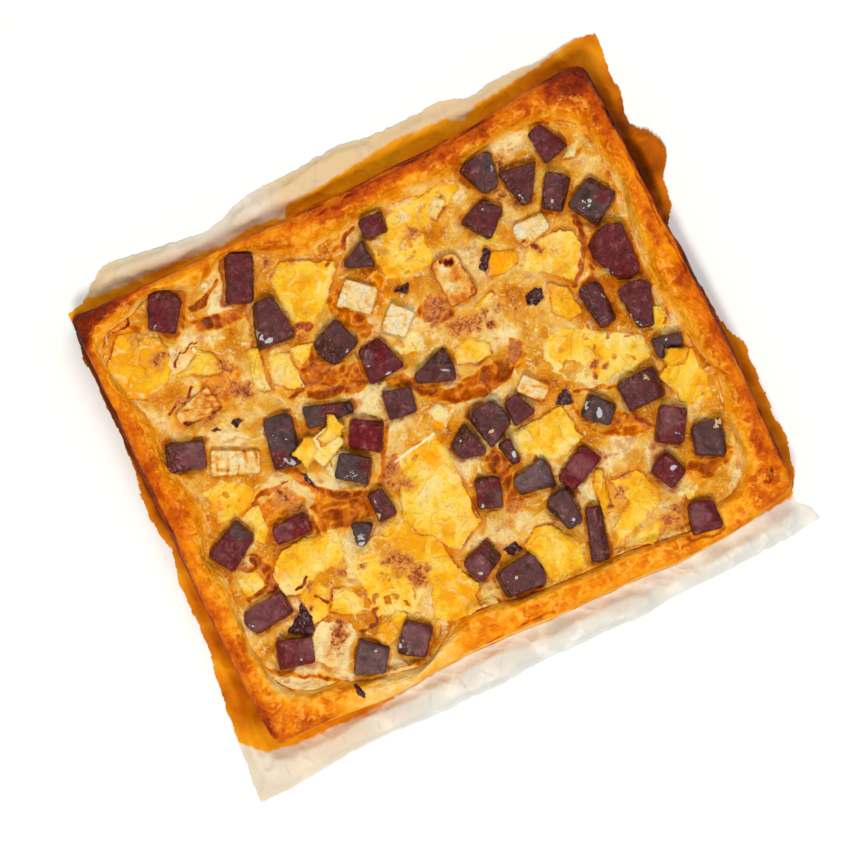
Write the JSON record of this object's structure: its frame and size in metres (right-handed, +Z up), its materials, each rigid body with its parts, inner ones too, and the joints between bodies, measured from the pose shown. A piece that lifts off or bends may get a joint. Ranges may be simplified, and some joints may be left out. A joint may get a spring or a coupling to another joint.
{
  "type": "beetroot and goat cheese tart",
  "caption": "Rectangular puff pastry tart with a raised rim, melted cheese and onion, diced beetroot and pieces of goat cheese, on torn baking paper.",
  "frame": {"origin": "middle of the underside of the baking paper, on the surface that it lies on", "axes": "+X along the tart's long side, +Y along its short side, +Z up out of the filling"},
  "size_m": [0.3328, 0.2818, 0.0229],
  "materials": {
    "pastry": "satin",
    "melted_cheese": "satin",
    "goat_cheese": "matte",
    "beetroot": "gloss",
    "baking_paper": "satin"
  },
  "bodies": {
    "root": {"baking_paper": "baking_paper", "beetroot_01": "beetroot", "beetroot_02": "beetroot", "beetroot_03": "beetroot", "beetroot_04": "beetroot", "beetroot_05": "beetroot", "beetroot_06": "beetroot", "beetroot_07": "beetroot", "beetroot_08": "beetroot", "beetroot_09": "beetroot", "beetroot_10": "beetroot", "beetroot_11": "beetroot", "beetroot_12": "beetroot", "beetroot_13": "beetroot", "beetroot_14": "beetroot", "beetroot_15": "beetroot", "beetroot_16": "beetroot", "beetroot_17": "beetroot", "beetroot_18": "beetroot", "beetroot_19": "beetroot", "beetroot_20": "beetroot", "beetroot_21": "beetroot", "beetroot_22": "beetroot", "beetroot_23": "beetroot", "beetroot_24": "beetroot", "beetroot_25": "beetroot", "beetroot_26": "beetroot", "beetroot_27": "beetroot", "beetroot_28": "beetroot", "beetroot_29": "beetroot", "beetroot_30": "beetroot", "beetroot_31": "beetroot", "beetroot_32": "beetroot", "beetroot_33": "beetroot", "beetroot_34": "beetroot", "beetroot_35": "beetroot", "beetroot_36": "beetroot", "beetroot_37": "beetroot", "beetroot_38": "beetroot", "beetroot_39": "beetroot", "beetroot_40": "beetroot", "beetroot_41": "beetroot", "beetroot_42": "beetroot", "beetroot_43": "beetroot", "beetroot_44": "beetroot", "beetroot_45": "beetroot", "beetroot_46": "beetroot", "beetroot_47": "beetroot", "beetroot_48": "beetroot", "beetroot_49": "beetroot", "cheese_filling": "melted_cheese", "goat_cheese_1": "goat_cheese", "goat_cheese_2": "goat_cheese", "goat_cheese_3": "goat_cheese", "goat_cheese_4": "goat_cheese", "goat_cheese_5": "goat_cheese", "goat_cheese_6": "goat_cheese", "goat_cheese_7": "goat_cheese", "goat_cheese_8": "goat_cheese", "pastry_case": "pastry"}
  },
  "joints": []
}
